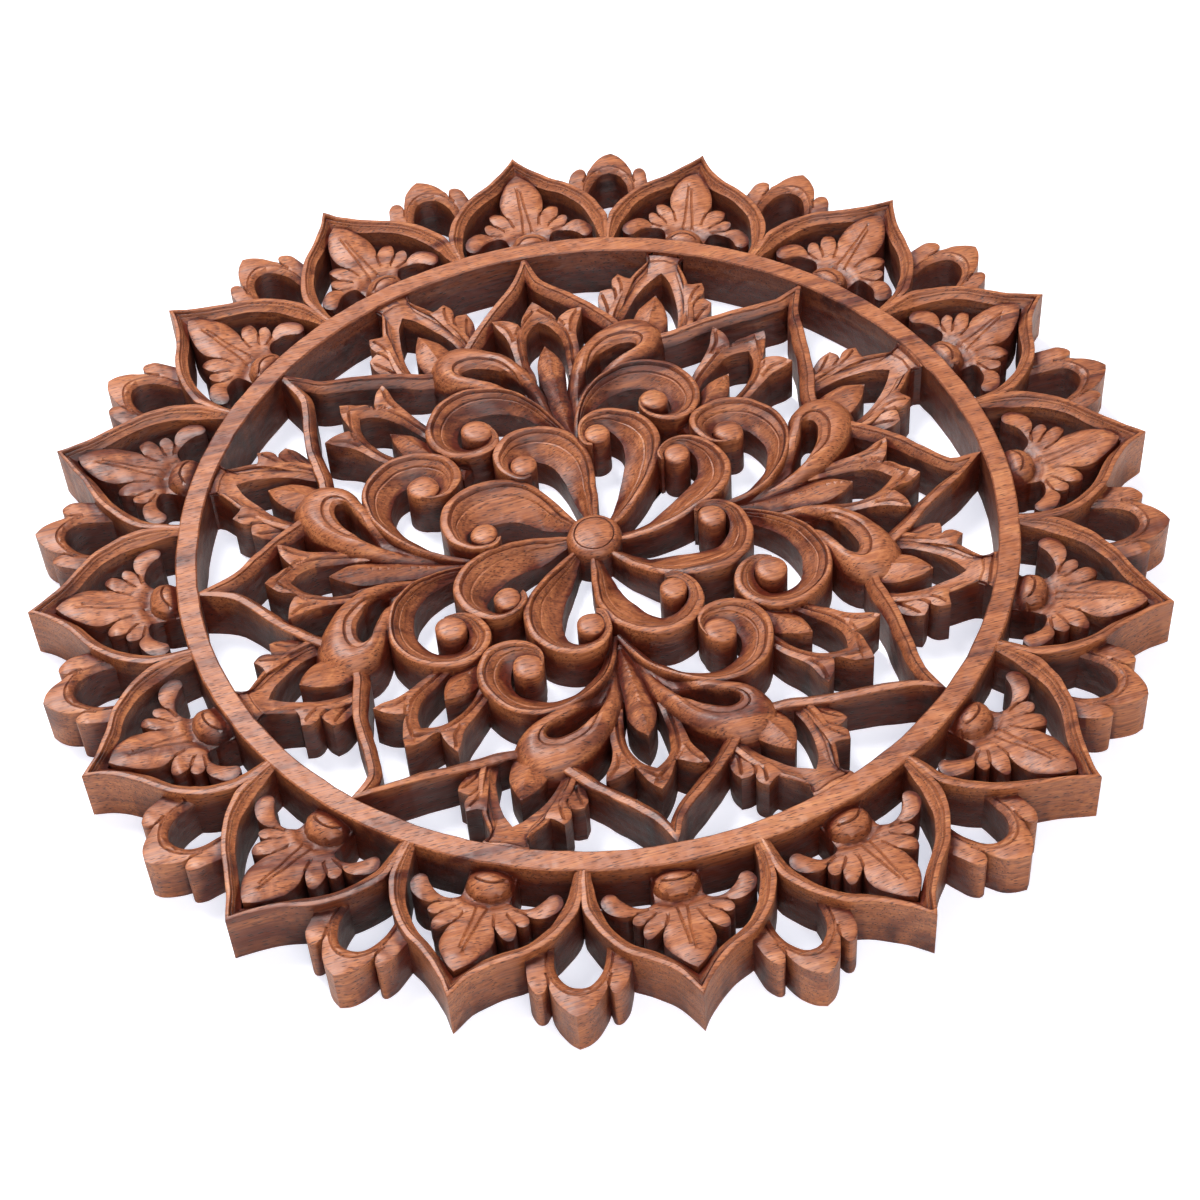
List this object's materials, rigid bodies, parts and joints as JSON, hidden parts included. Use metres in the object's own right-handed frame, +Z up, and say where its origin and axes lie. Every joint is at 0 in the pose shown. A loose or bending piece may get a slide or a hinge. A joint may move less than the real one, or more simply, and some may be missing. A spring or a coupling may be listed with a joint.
{
  "type": "carved openwork wall panel",
  "caption": "Round openwork wood relief: a flower of scrolls and teardrops inside a ring, with a wreath of pointed petals holding leaves.",
  "frame": {"origin": "middle of the flat back, where the panel meets the wall", "axes": "+Z up as the panel hangs, with a big petal's point at the top; the carved side faces -Y and +Y points into the wall"},
  "size_m": [0.4, 0.022, 0.4],
  "materials": {
    "suar_wood": "reddish-brown hardwood with a satin wax finish"
  },
  "bodies": {
    "root": {"carved_panel": "suar_wood"}
  },
  "joints": []
}
